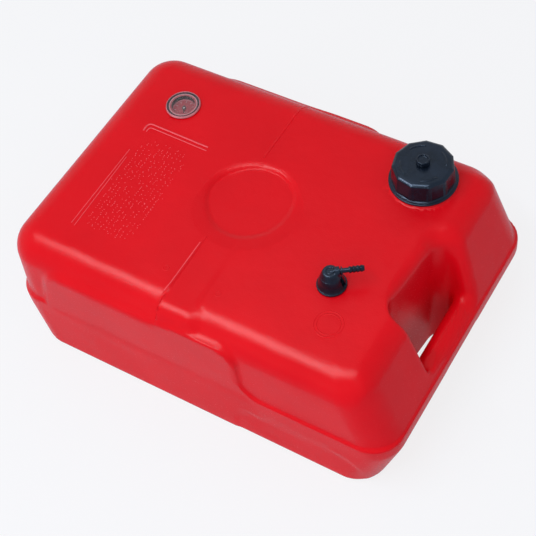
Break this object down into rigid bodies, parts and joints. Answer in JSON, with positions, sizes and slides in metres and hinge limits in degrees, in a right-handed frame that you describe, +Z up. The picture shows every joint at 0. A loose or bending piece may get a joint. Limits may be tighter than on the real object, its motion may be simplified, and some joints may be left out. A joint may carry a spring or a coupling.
{
  "type": "outboard fuel tank",
  "caption": "Low rectangular moulded fuel tank with a grip bar at one end, screw filler cap with vent screw, swivelling hose tail and a round float gauge.",
  "frame": {"origin": "centre of the base, on the floor it rests on", "axes": "+X towards the handle end, -Y the long side nearer the hose fitting, +Z up through the filler cap"},
  "size_m": [0.54, 0.3842, 0.233],
  "materials": {
    "red_polyethylene": "semi-gloss blow-moulded, fine orange-peel skin",
    "black_nylon": "semi-gloss moulded",
    "natural_polyethylene": "satin",
    "black_rubber": "matt",
    "clear_window": "clear, polished",
    "dial_print": "printed, matt",
    "pointer_black": "matt",
    "steel_strip": "rolled strip",
    "aluminium_rod": "drawn rod",
    "float_foam": "closed-cell, matt"
  },
  "bodies": {
    "tank": {"tank_shell": "red_polyethylene", "pickup_gasket": "black_rubber", "pickup_stem": "black_nylon", "pickup_oring": "black_rubber", "pickup_nut": "black_nylon", "dip_tube": "natural_polyethylene", "pickup_strainer": "natural_polyethylene", "gauge_gasket": "black_rubber", "gauge_housing": "black_nylon", "gauge_lens": "clear_window", "gauge_dial": "dial_print", "gauge_guide_rods": "aluminium_rod", "gauge_foot": "black_nylon"},
    "cap_seal": {"cap_liner": "natural_polyethylene", "cap_gasket": "black_rubber"},
    "cap": {"cap_shell": "black_nylon"},
    "vent_ring": {"vent_seal": "black_rubber"},
    "vent": {"vent_screw": "black_nylon"},
    "elbow": {"pickup_elbow": "black_nylon"},
    "float": {"gauge_float": "float_foam", "gauge_driver": "natural_polyethylene"},
    "needle": {"gauge_spindle": "steel_strip", "gauge_pointer": "pointer_black"}
  },
  "joints": [
    {"name": "cap_lift", "type": "slide", "parent": "tank", "child": "cap_seal", "axis": [0, 0, 1], "range_m": [0, 0.04]},
    {"name": "cap_turn", "type": "hinge", "parent": "cap_seal", "child": "cap", "pos_m": [0.1605, 0.1185, 0.2154], "axis": [0, 0, 1], "range_deg": [0, 1799.5]},
    {"name": "vent_lift", "type": "slide", "parent": "cap", "child": "vent_ring", "axis": [0, 0, 1], "range_m": [0, 0.005]},
    {"name": "vent_turn", "type": "hinge", "parent": "vent_ring", "child": "vent", "pos_m": [0.1605, 0.1185, 0.225], "axis": [0, 0, 1], "range_deg": [0, 900.5]},
    {"name": "elbow_swivel", "type": "hinge", "parent": "tank", "child": "elbow", "pos_m": [0.1352, -0.0613, 0.21], "axis": [0, 0, 1], "range_deg": [-180, 180]},
    {"name": "float_rise", "type": "slide", "parent": "tank", "child": "float", "axis": [0, 0, 1], "range_m": [0, 0.14]},
    {"name": "needle_turn", "type": "hinge", "parent": "tank", "child": "needle", "pos_m": [-0.1714, 0.0969, 0.18], "axis": [0, 0, 1], "range_deg": [-270.5, 0]}
  ],
  "couplings": [
    {"joint": "cap_lift", "follows": "cap_turn", "m_per_rad": 0.0012732},
    {"joint": "vent_turn", "follows": "vent_lift", "rad_per_m": 3141.6},
    {"joint": "needle_turn", "follows": "float_rise", "rad_per_m": -33.66}
  ]
}
